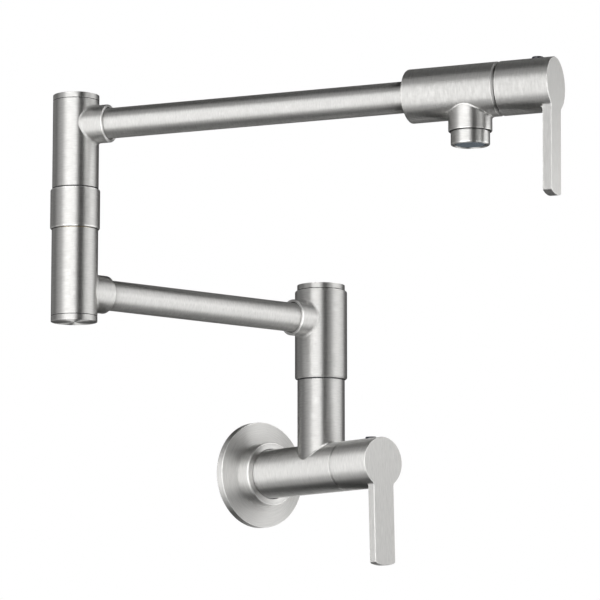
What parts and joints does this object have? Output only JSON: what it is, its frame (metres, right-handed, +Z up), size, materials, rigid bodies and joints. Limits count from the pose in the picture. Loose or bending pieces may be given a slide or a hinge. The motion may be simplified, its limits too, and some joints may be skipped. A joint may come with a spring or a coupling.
{
  "type": "wall mounted pot filler",
  "caption": "Wall mounted pot filler tap with a folding two-part swing arm, lever valves at inlet and outlet, and a down-turned spout with an aerator.",
  "frame": {"origin": "centre of the female inlet thread's mouth, on the wall plane", "axes": "+Y into the wall along the inlet thread, so the tap stands out towards -Y; +Z up; the lower arm points to -X at rest"},
  "size_m": [0.2663, 0.3755, 0.3026],
  "materials": {
    "nickel": "brushed satin nickel look on stainless and cast brass",
    "brass": "turned, plain",
    "screw": "plain stainless",
    "rubber": "matt black",
    "acetal": "matt black",
    "ceramic": "lapped",
    "insert": "satin blue grey",
    "plug": "near-black navy"
  },
  "bodies": {
    "wall_unit": {"flange": "nickel", "flange_gasket": "rubber", "collar_o_ring": "rubber", "inlet_body": "nickel", "riser_tube": "nickel", "riser_spigot": "brass", "riser_o_rings": "rubber", "riser_thrust_washer": "acetal", "riser_nut_washer": "acetal", "riser_nut": "brass", "inlet_seat_washer": "rubber", "inlet_fixed_disc": "ceramic", "inlet_cartridge_body": "brass", "inlet_cartridge_o_ring": "rubber"},
    "lower_arm": {"lower_swivel_sleeve": "nickel", "lower_swivel_cap": "nickel", "lower_swivel_cap_seal": "rubber", "lower_arm_tube": "nickel", "elbow_lower_body": "nickel", "elbow_bottom_cap": "nickel", "elbow_bottom_cap_seal": "rubber", "elbow_spigot": "brass", "elbow_o_rings": "rubber", "elbow_ring": "nickel", "elbow_thrust_washer": "acetal", "elbow_nut_washer": "acetal", "elbow_nut": "brass"},
    "upper_arm": {"elbow_upper_body": "nickel", "elbow_top_cap": "nickel", "elbow_top_cap_seal": "rubber", "upper_arm_tube": "nickel", "outlet_body": "nickel", "spout_nozzle": "nickel", "aerator_washer": "rubber", "aerator_shell": "nickel", "aerator_insert": "insert", "outlet_seat_washer": "rubber", "outlet_fixed_disc": "ceramic", "outlet_cartridge_body": "brass", "outlet_cartridge_o_ring": "rubber"},
    "inlet_handle": {"inlet_lever": "nickel", "inlet_stem": "brass", "inlet_moving_disc": "ceramic", "inlet_stem_o_rings": "rubber", "inlet_set_screw": "screw", "inlet_plug_button": "plug"},
    "outlet_handle": {"outlet_lever": "nickel", "outlet_stem": "brass", "outlet_moving_disc": "ceramic", "outlet_stem_o_rings": "rubber", "outlet_set_screw": "screw", "outlet_plug_button": "plug"}
  },
  "joints": [
    {"name": "lower_swivel", "type": "hinge", "parent": "wall_unit", "child": "lower_arm", "pos_m": [0, -0.069, 0.103], "axis": [0, 0, 1], "range_deg": [-10, 190]},
    {"name": "elbow_swivel", "type": "hinge", "parent": "lower_arm", "child": "upper_arm", "pos_m": [-0.213, -0.069, 0.2126], "axis": [0, 0, 1], "range_deg": [-295.9, 64.1]},
    {"name": "inlet_lever_turn", "type": "hinge", "parent": "wall_unit", "child": "inlet_handle", "pos_m": [0, -0.115, 0], "axis": [0, -1, 0], "range_deg": [-1.5, 88.5]},
    {"name": "outlet_lever_turn", "type": "hinge", "parent": "upper_arm", "child": "outlet_handle", "pos_m": [-0.08196, -0.33887, 0.2126], "axis": [0.4368, -0.8996, 0], "range_deg": [0, 90]}
  ]
}
